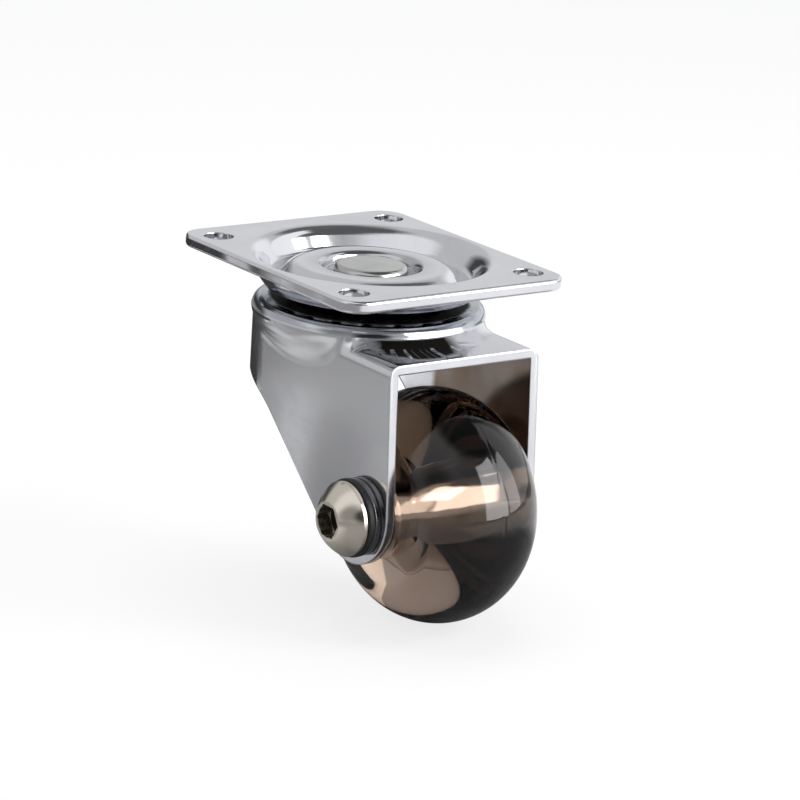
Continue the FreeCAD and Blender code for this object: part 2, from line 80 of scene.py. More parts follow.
def add(tree, kind, options=None, inputs=None):
    """Make a node, set its options, and give each input a value or a link."""
    node = tree.nodes.new(kind)
    for name, value in (options or {}).items():
        setattr(node, name, value)
    for name, value in (inputs or {}).items():
        if isinstance(value, bpy.types.NodeSocket):
            tree.links.new(value, node.inputs[name])
        else:
            node.inputs[name].default_value = value
    return node


def new_group(name, inputs, outputs=("Mask",)):
    """Start a node group with named values going in and named values coming out."""
    tree = bpy.data.node_groups.new(name, "ShaderNodeTree")
    for label, value in inputs.items():
        socket = tree.interface.new_socket(label, in_out="INPUT", socket_type="NodeSocketFloat")
        socket.default_value = value
    for label in outputs:
        tree.interface.new_socket(label, in_out="OUTPUT", socket_type="NodeSocketFloat")
    given = tree.nodes.new("NodeGroupInput").outputs
    made = tree.nodes.new("NodeGroupOutput").inputs
    return tree, given, made


def place(tree, group, **values):
    """Put a node group into a material with its own values, and return what comes out of it."""
    node = tree.nodes.new("ShaderNodeGroup")
    node.node_tree = group
    for name, value in values.items():
        node.inputs[name].default_value = value
    return node.outputs


print("ready: nodes and node groups")

# %% [markdown]
# A mask is a sum on places and directions: how far a spot lies from an axis, how high it is, how a noise
# breaks it up. Blender has a node for each sum, and an input takes a number or a link alike. These few
# functions give the sums plain names, so that a mask can be read from top to bottom.

# %% Sums on values and places
ROUND_SWIVEL = (1, 1, 0)


def arithmetic(tree, operation, a, b=0.0):
    """A sum of one or two values."""
    return add(tree, "ShaderNodeMath", {"operation": operation}, {0: a, 1: b}).outputs[0]


def times(tree, a, b):
    return arithmetic(tree, "MULTIPLY", a, b)


def plus(tree, a, b):
    return arithmetic(tree, "ADD", a, b)


def minus(tree, a, b):
    return arithmetic(tree, "SUBTRACT", a, b)


def vector(tree, operation, a, b=(0, 0, 0)):
    """A sum of one or two vectors. A length or a dot product comes out as a value."""
    node = add(tree, "ShaderNodeVectorMath", {"operation": operation}, {0: a, 1: b})
    return node.outputs["Value" if operation in ("LENGTH", "DOT_PRODUCT") else "Vector"]


def parts_of(tree, spot):
    """The X, Y and Z of a place or a direction."""
    return add(tree, "ShaderNodeSeparateXYZ", None, {0: spot}).outputs


def from_axis(tree, spot, across=ROUND_SWIVEL):
    """Distance from an axis through the origin, measured in the directions across it."""
    return vector(tree, "LENGTH", vector(tree, "MULTIPLY", spot, across))


def remap(tree, value, low, high, to_low=0.0, to_high=1.0):
    """Map a range of values onto another one, and clamp it."""
    inputs = {"Value": value, "From Min": low, "From Max": high, "To Min": to_low, "To Max": to_high}
    return add(tree, "ShaderNodeMapRange", None, inputs).outputs["Result"]


print("ready: sums")

# %% [markdown]
# Nothing that is handled stays evenly bright. Fingers and packing leave soft cloudy patches, and boxes
# leave hair lines. A painted texture could show them, but it would need a flat map of every part. Noise
# on the part's own coordinates needs none, and one group serves every metal, the washers and the wheel.
# The marks change the roughness far more than the colour. Hair lines are a noise stretched one way, of
# which only the crests stay.

# %% Handling marks
CLOUD_GRAIN, CLOUD_FADE = 70.0, (0.38, 0.68)
SPECK_GRAIN, SPECK_FADE, SPECK_SHARE = 900.0, (0.35, 0.75), 0.3
LINES_ONE_WAY = {"turn": (0.3, 0.5, 0.4), "along": 90.0, "across": 3800.0, "crest": 0.7}
LINES_OTHER_WAY = {"turn": (1.1, -0.4, 1.9), "along": 120.0, "across": 4600.0, "crest": 0.71}
LINE_FADE = 0.06


def spot_on(tree):
    """The place of the spot that is shaded, in the piece's own coordinates."""
    return add(tree, "ShaderNodeTexCoord").outputs["Object"]


def noise(tree, spot, grain, detail, **more):
    """Cloudy values from 0 to 1. The grain is how many clouds lie along one unit of the place."""
    inputs = {"Vector": spot, "Scale": grain, "Detail": detail, **more}
    return add(tree, "ShaderNodeTexNoise", None, inputs).outputs["Fac"]


def hair_lines(tree, spot, turn, along, across, crest):
    """Thin marks that run one way: a stretched noise of which only the crests are kept."""
    inputs = {"Vector": spot, "Rotation": turn, "Scale": (along, across, across)}
    stretched = add(tree, "ShaderNodeMapping", None, inputs).outputs["Vector"]
    return remap(tree, noise(tree, stretched, 1.0, detail=2.0), crest, crest + LINE_FADE)


def make_handling_marks():
    inputs = {"Base": 0.08, "Smudge": 0.06, "Scratch": 0.1}
    tree, given, made = new_group("handling_marks", inputs, ("Roughness", "Height", "Cloud"))
    spot = spot_on(tree)
    clouds = noise(tree, spot, CLOUD_GRAIN, detail=4.0, Roughness=0.6, Distortion=0.8)
    cloud = remap(tree, clouds, *CLOUD_FADE)
    speck = remap(tree, noise(tree, spot, SPECK_GRAIN, detail=3.0), *SPECK_FADE)
    one_way = hair_lines(tree, spot, **LINES_ONE_WAY)
    other_way = hair_lines(tree, spot, **LINES_OTHER_WAY)
    lines = arithmetic(tree, "MAXIMUM", one_way, other_way)
    patchy = times(tree, cloud, plus(tree, 1 - SPECK_SHARE, times(tree, speck, SPECK_SHARE)))
    smudged = plus(tree, given["Base"], times(tree, patchy, given["Smudge"]))
    tree.links.new(plus(tree, smudged, times(tree, lines, given["Scratch"])), made["Roughness"])
    tree.links.new(times(tree, lines, -1.0), made["Height"])
    tree.links.new(cloud, made["Cloud"])
    return tree


HANDLING = make_handling_marks()
print("group:", HANDLING.name)

# %% [markdown]
# Sheet that was drawn in a press is never dead flat. It ripples by hundredths or tenths of a millimetre,
# which only shows because the plating is a mirror: straight reflections bend a little. The meshes could
# be pushed about, but they are the frame and stay as they are. So a slow noise goes into the normal as a
# bump.

# %% Ripple of drawn sheet


def make_sheet_ripple():
    tree, given, made = new_group("sheet_ripple", {"Grain": 80.0}, ("Height",))
    slow = noise(tree, spot_on(tree), given["Grain"], detail=1.0, Roughness=0.4)
    tree.links.new(slow, made["Height"])
    return tree


RIPPLE = make_sheet_ripple()
print("group:", RIPPLE.name)

# %% [markdown]
# Where two parts meet, the metals get painted shade: a darker colour and a little more roughness. Rubber
# and nylon get pale dust there instead. Painted by hand, the hidden corners would be missed. Ambient
# occlusion measures how shut in a spot is, so it finds every corner by itself, and a fine noise breaks the
# mark up.

# %% Painted shade and dust in corners
SHUT_IN_FADE = (0.15, 0.6)
CRUMB_GRAIN, CRUMB_NOISE, CRUMB_SHARE = 500.0, (0.3, 0.6), (0.4, 1.0)


# The mask of shut-in corners: painted shade on the metals, pale dust on rubber and nylon.
def make_corner_shade_and_dust():
    tree, given, made = new_group("corner_shade_and_dust", {"Reach": 2.0 * MM, "Amount": 0.6})
    occlusion = add(tree, "ShaderNodeAmbientOcclusion", {"samples": 6}, {"Distance": given["Reach"]})
    shut_in = remap(tree, occlusion.outputs["AO"], *SHUT_IN_FADE, 1.0, 0.0)
    crumbs = noise(tree, spot_on(tree), CRUMB_GRAIN, detail=4.0)
    uneven = remap(tree, crumbs, *CRUMB_NOISE, *CRUMB_SHARE)
    tree.links.new(times(tree, times(tree, shut_in, uneven), given["Amount"]), made["Mask"])
    return tree


CORNER_SHADE_AND_DUST = make_corner_shade_and_dust()
print("group:", CORNER_SHADE_AND_DUST.name)

# %% [markdown]
# The balls run in black grease. It fills their races, and its ragged rim shows in the gap under the
# plate. Its black also stands in for the shade in that gap, so it is partly painted shade. It could be
# modelled as a lumpy skin, but it is thinner than paper and only seen as a dull black, so a mask does.
# The mask is a disc about the swivel axis, kept above a level and on faces that are turned to the balls.
# Its limits are soft: a fade gives two distances from a limit, the one where the share is 0 and the one
# where it is 1.

# %% Mask: grease and painted shade on the races
GREASE_GRAIN, GREASE_UNEVEN = 350.0, 1.2 * MM
GREASE_RIM, GREASE_FOOT = (-0.8 * MM, 0.0), (0.0, 0.4 * MM)
GREASE_FACING = (-0.1, 0.2)


def past(tree, value, limit, fade):
    """Share that rises from 0 to 1 as a value goes past a limit."""
    return remap(tree, minus(tree, value, limit), *fade)


def short_of(tree, value, limit, fade):
    """Share that rises from 0 to 1 as a value falls short of a limit."""
    return remap(tree, minus(tree, limit, value), *fade)


def ragged(tree, distance, spot, grain, detail, uneven):
    """A distance that a noise makes uneven, so that an edge drawn with it is ragged."""
    return plus(tree, distance, times(tree, noise(tree, spot, grain, detail), uneven))


def make_race_grease_and_shade():
    tree, given, made = new_group("race_grease_and_shade", {"Radius": 21.0 * MM, "Low": -11.2 * MM, "Facing": 1.0})
    coords = add(tree, "ShaderNodeTexCoord").outputs
    spot = coords["Object"]
    rim = ragged(tree, from_axis(tree, spot), spot, GREASE_GRAIN, detail=3.0, uneven=GREASE_UNEVEN)
    within = short_of(tree, rim, given["Radius"], GREASE_RIM)
    above = past(tree, parts_of(tree, spot)["Z"], given["Low"], GREASE_FOOT)
    facing = times(tree, parts_of(tree, coords["Normal"])["Z"], given["Facing"])
    turned = remap(tree, facing, *GREASE_FACING)
    tree.links.new(times(tree, times(tree, within, above), turned), made["Mask"])
    return tree


GREASE_AND_SHADE = make_race_grease_and_shade()
print("mask:", GREASE_AND_SHADE.name)

# %% [markdown]
# A dark reflection is painted on the fork's flat roof, in front of the round head: the black of the
# shaded gap under the plate, as the roof would mirror it. It lies as a black patch with a ragged edge,
# and bright streaks through it are painted glints, where the bare plating shows. It has no height to
# model, so it is a mask too: a disc beside the head that a noise breaks up, less a fan of streaks about
# the swivel axis. The fan is a noise on the angle alone. Two levels keep the patch on the roof.

# %% Mask: painted dark reflection on the roof
ROOF_PATCH_GRAIN, ROOF_PATCH_UNEVEN, ROOF_PATCH_EDGE = 260.0, 4.0 * MM, (-1.5 * MM, 1.0 * MM)
ROOF_PATCH_FOOT, ROOF_PATCH_TOP = (0.0, 0.2 * MM), (0.0, 0.3 * MM)
GLINT_GRAIN, GLINT_FADE, GLINT_START = 22.0, (0.56, 0.62), (27.2 * MM, 28.2 * MM)


def painted_glints(tree, spot):
    """Painted glints: streaks that run outwards from the swivel axis, beyond the head."""
    parts = parts_of(tree, spot)
    angle = arithmetic(tree, "ARCTAN2", parts["Y"], parts["X"])
    round_axis = add(tree, "ShaderNodeCombineXYZ", None, {"X": angle}).outputs[0]
    fan = remap(tree, noise(tree, round_axis, GLINT_GRAIN, detail=0.0), *GLINT_FADE)
    return times(tree, fan, remap(tree, from_axis(tree, spot), *GLINT_START))


def make_dark_roof_reflection():
    inputs = {"X": 25.0 * MM, "Y": -6.0 * MM, "Reach": 10.5 * MM, "Low": -13.9 * MM, "High": -11.8 * MM}
    tree, given, made = new_group("painted_roof_reflection", inputs)
    spot = spot_on(tree)
    height = parts_of(tree, spot)["Z"]
    middle = add(tree, "ShaderNodeCombineXYZ", None, {"X": given["X"], "Y": given["Y"]}).outputs[0]
    away = from_axis(tree, vector(tree, "SUBTRACT", spot, middle))
    edge = ragged(tree, away, spot, ROOF_PATCH_GRAIN, detail=4.0, uneven=ROOF_PATCH_UNEVEN)
    within = short_of(tree, edge, given["Reach"], ROOF_PATCH_EDGE)
    between_glints = minus(tree, 1.0, painted_glints(tree, spot))
    above = past(tree, height, given["Low"], ROOF_PATCH_FOOT)
    below = short_of(tree, height, given["High"], ROOF_PATCH_TOP)
    tree.links.new(times(tree, times(tree, within, between_glints), times(tree, above, below)), made["Mask"])
    return tree


DARK_ROOF_REFLECTION = make_dark_roof_reflection()
print("mask:", DARK_ROOF_REFLECTION.name)

# %% [markdown]
# Inside the fork, the plating is tinted brown as a painted reflection of the smoked wheel and the shaded
# ground that those faces mirror. So its inner faces are mirrors still, but brown, from a line near the
# swivel axis to the front. The faces could be split off for a second material, but the line runs across
# single faces. The mask finds an inner face by its normal, which points back at the fork's middle, and it
# comes in with the distance forward.

# %% Mask: painted brown reflection inside the fork
FORK_MIDDLE = Vector((10.0, 0.0, -40.0)) * MM
INWARD_FADE = (-10.0 * MM, -15.0 * MM)
INNER_GRAIN, INNER_NOISE, INNER_SHARE = 120.0, (0.3, 0.7), (0.75, 1.0)


def make_inner_reflection():
    tree, given, made = new_group("inner_brown_reflection", {"Start": 1.2 * MM, "Full": 3.0 * MM})
    coords = add(tree, "ShaderNodeTexCoord").outputs
    spot = coords["Object"]
    from_middle = vector(tree, "SUBTRACT", spot, FORK_MIDDLE)
    inside = remap(tree, vector(tree, "DOT_PRODUCT", coords["Normal"], from_middle), *INWARD_FADE)
    forward = remap(tree, parts_of(tree, spot)["X"], given["Start"], given["Full"])
    uneven = remap(tree, noise(tree, spot, INNER_GRAIN, detail=4.0), *INNER_NOISE, *INNER_SHARE)
    tree.links.new(times(tree, times(tree, inside, forward), uneven), made["Mask"])
    return tree


INNER_REFLECTION = make_inner_reflection()
print("mask:", INNER_REFLECTION.name)

# %% [markdown]
# The shoulders beside the head were stretched most in the press. Stretched sheet gets a fine grain, and
# under plating that grain looks satin, so reflections are soft there and sharpen again down the legs.
# Real grain would be far too fine to model or to bump. Roughness does the same to a reflection, so this
# is only a mask: the outer sides of the fork, full under the head and fading out downwards.

# %% Mask: satin of the drawn shoulders
SATIN_SIDE, SATIN_FOOT, SATIN_TOP = (0.0, 0.7 * MM), (0.0, 11.0 * MM), (0.0, 1.2 * MM)


def make_drawn_satin():
    tree, given, made = new_group("drawn_satin", {"Side": 17.8 * MM, "Low": -31.0 * MM, "High": -11.8 * MM})
    parts = parts_of(tree, spot_on(tree))
    beside = past(tree, arithmetic(tree, "ABSOLUTE", parts["Y"]), given["Side"], SATIN_SIDE)
    above = past(tree, parts["Z"], given["Low"], SATIN_FOOT)
    below = short_of(tree, parts["Z"], given["High"], SATIN_TOP)
    tree.links.new(times(tree, beside, times(tree, above, below)), made["Mask"])
    return tree


SATIN = make_drawn_satin()
print("mask:", SATIN.name)

# %% [markdown]
# Two rings are painted darker: painted shade on the bottom of the plate's dish round the kingpin, and a
# painted bluish reflection on the rim of the fork's head under the plate. Each could have a mask of its
# own, but both are rings about the swivel axis, so one with two radii and a lowest level serves both. A
# noise keeps the painted tone uneven.

# %% Mask: painted shade in the dish and painted reflection on the rim
RING_INNER, RING_OUTER, RING_FOOT = (0.0, 1.5 * MM), (-1.0 * MM, 3.0 * MM), (0.0, 0.6 * MM)
RING_GRAIN, RING_NOISE, RING_SHARE = 150.0, (0.3, 0.7), (0.5, 1.0)


def make_painted_ring():
    tree, given, made = new_group("painted_ring", {"Inner": 5.2 * MM, "Outer": 13.5 * MM, "Low": -20.0 * MM})
    spot = spot_on(tree)
    radius = from_axis(tree, spot)
    beyond = past(tree, radius, given["Inner"], RING_INNER)
    within = short_of(tree, radius, given["Outer"], RING_OUTER)
    above = past(tree, parts_of(tree, spot)["Z"], given["Low"], RING_FOOT)
    uneven = remap(tree, noise(tree, spot, RING_GRAIN, detail=3.0), *RING_NOISE, *RING_SHARE)
    tree.links.new(times(tree, times(tree, beyond, within), times(tree, uneven, above)), made["Mask"])
    return tree


PAINTED_RING = make_painted_ring()
print("mask:", PAINTED_RING.name)

# %% [markdown]
# The bolt's hexagon socket is a deep blind hole, and it is darkened with painted shade. Left bright, its
# walls would mirror each other and glitter, and the painted shade in corners doesn't reach all of them.
# So it has a mask of its own, a disc about the axle with a ragged rim. The axle's place comes from the
# frame, where it is the joint that the wheel spins on, and the wheel further down is turned about it too.

# %% Mask: painted shade in the bolt's socket
AXLE = Vector(next(joint["pos_m"] for joint in frame["joints"] if joint["name"] == "wheel_spin"))
ROUND_AXLE = (1, 0, 1)
SOCKET_GRAIN, SOCKET_UNEVEN, SOCKET_RIM = 900.0, 0.3 * MM, (-0.3 * MM, 0.0)


def make_socket_shade():
    tree, given, made = new_group("socket_shade", {"Radius": 3.4 * MM})
    spot = spot_on(tree)
    away = from_axis(tree, vector(tree, "SUBTRACT", spot, AXLE), ROUND_AXLE)
    rim = ragged(tree, away, spot, SOCKET_GRAIN, detail=3.0, uneven=SOCKET_UNEVEN)
    tree.links.new(short_of(tree, rim, given["Radius"], SOCKET_RIM), made["Mask"])
    return tree


SOCKET_SHADE = make_socket_shade()
print("mask:", SOCKET_SHADE.name, "axle at", [round(v / MM, 1) for v in AXLE])

# %% [markdown]
# No pressed or plated edge is a knife edge: each has a small round that catches a line of light.
# Bevelling every edge of the meshes would do it, but they are the frame. The Bevel node rounds only the
# normal, which is what a mirror shows. It also blurs the seams between faces that are nearly flush, so
# its normal is taken only where it turns well away from the plain one. Blender's Mix node blends the two.
# It keeps two inputs and an output for each kind of thing it mixes, so a small table says which they are.

# %% Soft edges
MIX_SOCKETS = {"FLOAT": (2, 3, 0), "VECTOR": (4, 5, 1), "RGBA": (6, 7, 2)}
EDGE_TURN = (0.9985, 0.985)


def mixed(tree, kind, share, first, second):
    """Mix two values, vectors or colours by a share from 0 to 1."""
    socket_a, socket_b, result = MIX_SOCKETS[kind]
    inputs = {0: share, socket_a: first, socket_b: second}
    return add(tree, "ShaderNodeMix", {"data_type": kind}, inputs).outputs[result]


def soft_edges(tree, radius):
    """Normal that rounds real edges, and leaves the seams between nearly flush faces alone."""
    rounded = add(tree, "ShaderNodeBevel", {"samples": 8}, {"Radius": radius}).outputs["Normal"]
    plain = add(tree, "ShaderNodeNewGeometry").outputs["Normal"]
    turned = remap(tree, vector(tree, "DOT_PRODUCT", rounded, plain), *EDGE_TURN)
    return vector(tree, "NORMALIZE", mixed(tree, "VECTOR", turned, plain, rounded))


print("ready: soft edges")

# %% [markdown]
# Most of the caster is metal: bright-plated, satin or oiled. One function makes every metal, because they
# differ only in numbers. It is a metallic Principled shader whose roughness comes from the handling
# marks, and whose normal is built up from soft edges, ripple and hair lines. Smudges dull its colour and
# painted shade darkens its corners. Covers are then laid over it one by one, each a mask with its own
# colour, roughness and metalness. The covers that aren't metal are grease, painted shade and painted
# reflections, so the gloss of that is low all over.

# %% A metal and what lies on it
# Colour of the painted shade in corners, and the roughness it adds.
PAINTED_CORNER_SHADE, CORNER_ROUGH = (0.05, 0.045, 0.04), 0.4
LINE_ROUGH, LINE_DEPTH = 0.1, 0.002 * MM
GREASE_GLOSS = 0.1


def new_material(name):
    material = bpy.data.materials.new(name)
    material.use_nodes = True
    material.node_tree.nodes.clear()
    return material, material.node_tree


def make_metal(name, colour, dull, base, smudge, ripple_grain, ripple_depth, corner_shade, reach=1.6 * MM,
               edge_round=0.35 * MM, covers=()):
    """Metal with soft edges, handling marks, ripple, painted shade in corners, and covers. Lengths are in
    metres.
    """
    material, tree = new_material(name)
    marks = place(tree, HANDLING, Base=base, Smudge=smudge, Scratch=LINE_ROUGH)
    ripple = place(tree, RIPPLE, Grain=ripple_grain)
    corners = place(tree, CORNER_SHADE_AND_DUST, Reach=reach, Amount=corner_shade)
    smudged = mixed(tree, "RGBA", marks["Cloud"], (*colour, 1), (*dull, 1))
    # Painted shade: corners that ambient occlusion finds shut in are darkened.
    tinted = mixed(tree, "RGBA", corners["Mask"], smudged, (*PAINTED_CORNER_SHADE, 1))
    rough = plus(tree, marks["Roughness"], times(tree, corners["Mask"], CORNER_ROUGH))
    metal = 1.0
    for group, look, values in covers:
        share = place(tree, group, **values)["Mask"]
        tinted = mixed(tree, "RGBA", share, tinted, (*look["colour"], 1))
        rough = mixed(tree, "FLOAT", share, rough, look["rough"])
        metal = mixed(tree, "FLOAT", share, metal, look["metal"])
    waves = add(tree, "ShaderNodeBump", None, {
        "Height": ripple["Height"], "Distance": ripple_depth, "Normal": soft_edges(tree, edge_round)})
    relief = add(tree, "ShaderNodeBump", None, {
        "Height": marks["Height"], "Distance": LINE_DEPTH, "Normal": waves.outputs["Normal"]})
    shader = add(tree, "ShaderNodeBsdfPrincipled", None, {
        "Base Color": tinted, "Metallic": metal, "Roughness": rough, "Normal": relief.outputs["Normal"],
        "Specular IOR Level": GREASE_GLOSS})
    add(tree, "ShaderNodeOutputMaterial", None, {"Surface": shader.outputs["BSDF"]})
    return material


print("ready: metals")

# %% [markdown]
# The plate, the fork and the lower race are pressed sheet with the same bright plating. One material
# could serve all three, but each has its own story: the plate is broad and ripples slowly, with painted
# shade in its dish and grease that is partly painted shade underneath; the fork is flatter, with satin
# shoulders, a bluish painted reflection on its rim, grease that is partly painted shade on its head, a
# painted dark reflection on its roof and a painted brown reflection inside; the race is a small cup full
# of grease that is partly painted shade.

# %% Plated sheet
PLATING = {"colour": (0.79, 0.79, 0.81), "dull": (0.72, 0.72, 0.75)}
# Black grease, and partly painted shade of the gap between plate and fork.
BLACK_GREASE_AND_SHADE = {"colour": (0.008, 0.007, 0.006), "rough": 0.5, "metal": 0.0}
# A painted dark reflection: dull black and not metal, where the roof would mirror the shaded gap.
PAINTED_DARK_REFLECTION = {"colour": (0.008, 0.007, 0.006), "rough": 0.85, "metal": 0.0}
# A painted brown reflection on the fork's inner faces.
PAINTED_BROWN_REFLECTION = {"colour": (0.3, 0.22, 0.165), "rough": 0.2, "metal": 1.0}
DRAWN_SATIN = {"colour": (0.8, 0.8, 0.81), "rough": 0.255, "metal": 1.0}
# Painted shade in the plate's dish, and a painted bluish reflection on the fork's rim.
PAINTED_DISH_SHADE = {"colour": (0.5, 0.5, 0.52), "rough": 0.12, "metal": 1.0}
PAINTED_RIM_REFLECTION = {"colour": (0.36, 0.39, 0.43), "rough": 0.12, "metal": 1.0}

PLATE_METAL = make_metal(
    "plate_metal", **PLATING, base=0.07, smudge=0.07, ripple_grain=45.0, ripple_depth=0.6 * MM, corner_shade=0.4,
    edge_round=0.5 * MM, covers=[
        (PAINTED_RING, PAINTED_DISH_SHADE, {}),
        (GREASE_AND_SHADE, BLACK_GREASE_AND_SHADE, {"Radius": 19.5 * MM, "Low": -9.0 * MM, "Facing": -1.0}),
    ])
FORK_METAL = make_metal(
    "fork_metal", **PLATING, base=0.1, smudge=0.06, ripple_grain=60.0, ripple_depth=0.06 * MM, corner_shade=0.4,
    edge_round=0.6 * MM, covers=[
        (SATIN, DRAWN_SATIN, {}),
        (PAINTED_RING, PAINTED_RIM_REFLECTION, {"Inner": 20.0 * MM, "Outer": 27.0 * MM, "Low": -11.8 * MM}),
        (GREASE_AND_SHADE, BLACK_GREASE_AND_SHADE, {"Radius": 21.5 * MM, "Low": -11.2 * MM, "Facing": 1.0}),
        (DARK_ROOF_REFLECTION, PAINTED_DARK_REFLECTION, {}),
        (INNER_REFLECTION, PAINTED_BROWN_REFLECTION, {}),
    ])
RACE_METAL = make_metal(
    "race_metal", **PLATING, base=0.12, smudge=0.08, ripple_grain=90.0, ripple_depth=0.04 * MM, corner_shade=0.5,
    covers=[(GREASE_AND_SHADE, BLACK_GREASE_AND_SHADE, {"Radius": 13.0 * MM, "Low": -30.0 * MM, "Facing": 1.0})])
print("plated:", PLATE_METAL.name, FORK_METAL.name, RACE_METAL.name)

# %% [markdown]
# The turned parts are steel of several kinds: a satin kingpin, greased balls that are also darkened as
# painted shade of the gap they run in, a warm nickel bolt, a dark washer and bright drawn tube. The same
# function makes them with other numbers. The tube is the brightest, because it is only seen through
# smoke that takes most of its light away.

# %% Turned steel
# Painted shade in the bolt's socket.
PAINTED_SOCKET_SHADE = {"colour": (0.03, 0.026, 0.02), "rough": 0.5, "metal": 0.6}

PIN_STEEL = make_metal(
    "pin_steel", colour=(0.58, 0.575, 0.565), dull=(0.5, 0.495, 0.485), base=0.16, smudge=0.08,
    ripple_grain=120.0, ripple_depth=0.1 * MM, corner_shade=0.5)
# Greased balls, darkened also as painted shade of the swivel gap.
SHADED_BALL_STEEL = make_metal(
    "ball_steel", colour=(0.4, 0.4, 0.41), dull=(0.12, 0.12, 0.12), base=0.07, smudge=0.12,
    ripple_grain=300.0, ripple_depth=0.001 * MM, corner_shade=0.8)
BOLT_NICKEL = make_metal(
    "bolt_nickel", colour=(0.8, 0.73, 0.64), dull=(0.72, 0.65, 0.56), base=0.17, smudge=0.07,
    ripple_grain=160.0, ripple_depth=0.015 * MM, corner_shade=0.9, reach=4.0 * MM,
    covers=[(SOCKET_SHADE, PAINTED_SOCKET_SHADE, {})])
WASHER_STEEL = make_metal(
    "washer_steel", colour=(0.17, 0.17, 0.18), dull=(0.13, 0.13, 0.135), base=0.12, smudge=0.08,
    ripple_grain=200.0, ripple_depth=0.01 * MM, corner_shade=0.7)
TUBE_STEEL = make_metal(
    "tube_steel", colour=(0.95, 0.92, 0.86), dull=(0.86, 0.83, 0.77), base=0.1, smudge=0.06,
    ripple_grain=190.0, ripple_depth=0.2 * MM, corner_shade=0.2)
print("metals:", [m.name for m in bpy.data.materials])

# %% [markdown]
# Three washers aren't metal. The black one under the bolt head is rubber: dark and matt, with a fine
# grain and a bloom of pale dust. The two slip washers between the legs and the wheel are nylon, smoother
# and a little glossy. Both are moulded, so one function makes them, with a noise for the grain and the
# handling marks for the bloom.

# %% Rubber and nylon
BLOOM_SHARE = 0.5


def make_moulded(name, colour, bloom, base, grain, grain_depth):
    """Dull moulded plastic or rubber with grain, bloom and handling marks."""
    material, tree = new_material(name)
    marks = place(tree, HANDLING, Base=base, Smudge=0.12, Scratch=0.05)
    corners = place(tree, CORNER_SHADE_AND_DUST, Reach=1.0 * MM, Amount=0.4)
    dusty = mixed(tree, "RGBA", times(tree, marks["Cloud"], BLOOM_SHARE), (*colour, 1), (*bloom, 1))
    tinted = mixed(tree, "RGBA", corners["Mask"], dusty, (*bloom, 1))
    skin = noise(tree, spot_on(tree), grain, detail=4.0)
    relief = add(tree, "ShaderNodeBump", None, {"Height": skin, "Distance": grain_depth})
    shader = add(tree, "ShaderNodeBsdfPrincipled", None, {
        "Base Color": tinted, "Roughness": marks["Roughness"], "Normal": relief.outputs["Normal"]})
    add(tree, "ShaderNodeOutputMaterial", None, {"Surface": shader.outputs["BSDF"]})
    return material


BLACK_RUBBER = make_moulded(
    "black_rubber", colour=(0.012, 0.012, 0.012), bloom=(0.035, 0.034, 0.033), base=0.5,
    grain=2500.0, grain_depth=0.02 * MM)
NYLON = make_moulded(
    "nylon", colour=(0.04, 0.04, 0.045), bloom=(0.09, 0.09, 0.09), base=0.35,
    grain=1200.0, grain_depth=0.005 * MM)
print("moulded:", BLACK_RUBBER.name, NYLON.name)

# %% [markdown]
# The wheel is cast from smoked clear plastic. A strong tint on the surface would make it a coloured
# shell, as dark at its thin edge as through its middle. The real smoke sits in the depth: light that
# crosses little plastic stays tan, and light that crosses a lot comes out nearly black. So a volume
# absorbs all colours nearly alike, and only a slight warm tint is left to the surface, which light
# crosses once on its way in and once on its way out.

# %% Smoked clear plastic
WARM_TINT, PLASTIC_BENDING = (1.0, 0.87, 0.78, 1), 1.5
SMOKE_COLOUR, SMOKE_DENSITY = (0.575, 0.53, 0.5, 1), 95.0


def make_smoked():
    material, tree = new_material("smoked_plastic")
    marks = place(tree, HANDLING, Base=0.012, Smudge=0.03, Scratch=0.12)
    relief = add(tree, "ShaderNodeBump", None, {"Height": marks["Height"], "Distance": LINE_DEPTH})
    shader = add(tree, "ShaderNodeBsdfPrincipled", None, {
        "Base Color": WARM_TINT, "Metallic": 0.0, "Transmission Weight": 1.0, "IOR": PLASTIC_BENDING,
        "Roughness": marks["Roughness"], "Normal": relief.outputs["Normal"]})
    smoke = add(tree, "ShaderNodeVolumeAbsorption", None, {"Color": SMOKE_COLOUR, "Density": SMOKE_DENSITY})
    add(tree, "ShaderNodeOutputMaterial", None, {
        "Surface": shader.outputs["BSDF"], "Volume": smoke.outputs["Volume"]})
    return material


SMOKED_PLASTIC = make_smoked()
print("clear:", SMOKED_PLASTIC.name)

# %% [markdown]
# Now the wheel itself. In a lathe's terms it is one turned profile: a bore, a low hub with a little
# draft, a flat side, a bend, and a high crowned tread with a fine parting line round its middle, where
# the mould's halves met. The CAD model has the same profile, but in facets and without the line. Here the
# tread is an arc, drawn by spinning one vertex about the crown's centre, and each side is drawn on from
# the arc's end, first by a smaller spin for the bend and then by extruding the last vertex from point to
# point.

# %% Draw the wheel's profile
WHEEL_RADIUS, TREAD_CROWN, TREAD_TURN = 25.0 * MM, 17.0 * MM, math.radians(54.0)
SIDE_BEND = 5.6 * MM
HUB_HALF, HUB_RADIUS, HUB_DRAFT = 15.25 * MM, 9.0 * MM, 0.3 * MM
BORE = 5.96 * MM
SEAM_DEPTH = 0.05 * MM
TREAD_STEPS, BEND_STEPS = 96, 24

TREAD_END = WHEEL_RADIUS - TREAD_CROWN * (1 - math.cos(TREAD_TURN))
TREAD_HALF = TREAD_CROWN * math.sin(TREAD_TURN)
BEND_RADIUS = TREAD_END - SIDE_BEND * math.cos(TREAD_TURN)
BEND_OUT = TREAD_HALF - SIDE_BEND * math.sin(TREAD_TURN)
SIDE_OUT = BEND_OUT + SIDE_BEND
HUB_POINTS = ((HUB_RADIUS + HUB_DRAFT, SIDE_OUT), (HUB_RADIUS, HUB_HALF), (BORE, HUB_HALF), (BORE, 0.0))


def on_profile(radius, side):
    """A point of the profile, which is drawn straight up from the axle."""
    return AXLE + Vector((0.0, side, radius))


